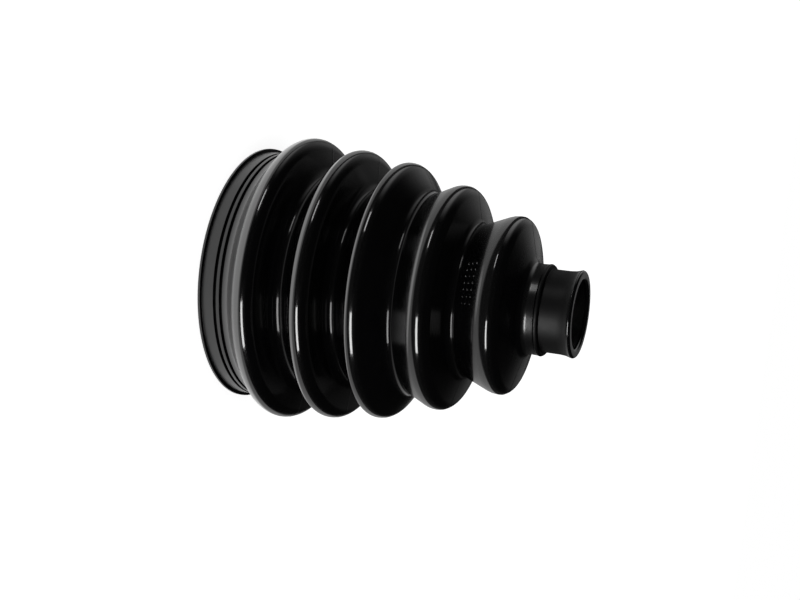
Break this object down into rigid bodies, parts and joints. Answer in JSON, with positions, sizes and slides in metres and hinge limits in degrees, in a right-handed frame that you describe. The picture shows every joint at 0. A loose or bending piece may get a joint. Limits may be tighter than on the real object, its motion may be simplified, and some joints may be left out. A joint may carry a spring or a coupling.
{
  "type": "rubber bellows boot",
  "caption": "Tapered black rubber bellows boot that seals a driveshaft joint, with a wide lipped collar, narrowing folds and a small flared collar for a shaft.",
  "frame": {"origin": "centre of the large collar's end face, which the boot stands on", "axes": "+Z along the boot's axis, from the large collar up to the small collar; X and Y are alike, because the boot is round"},
  "size_m": [0.092, 0.092, 0.1089],
  "materials": {
    "rubber": "glossy moulded black"
  },
  "bodies": {
    "root": {"bellows_boot": "rubber"}
  },
  "joints": []
}
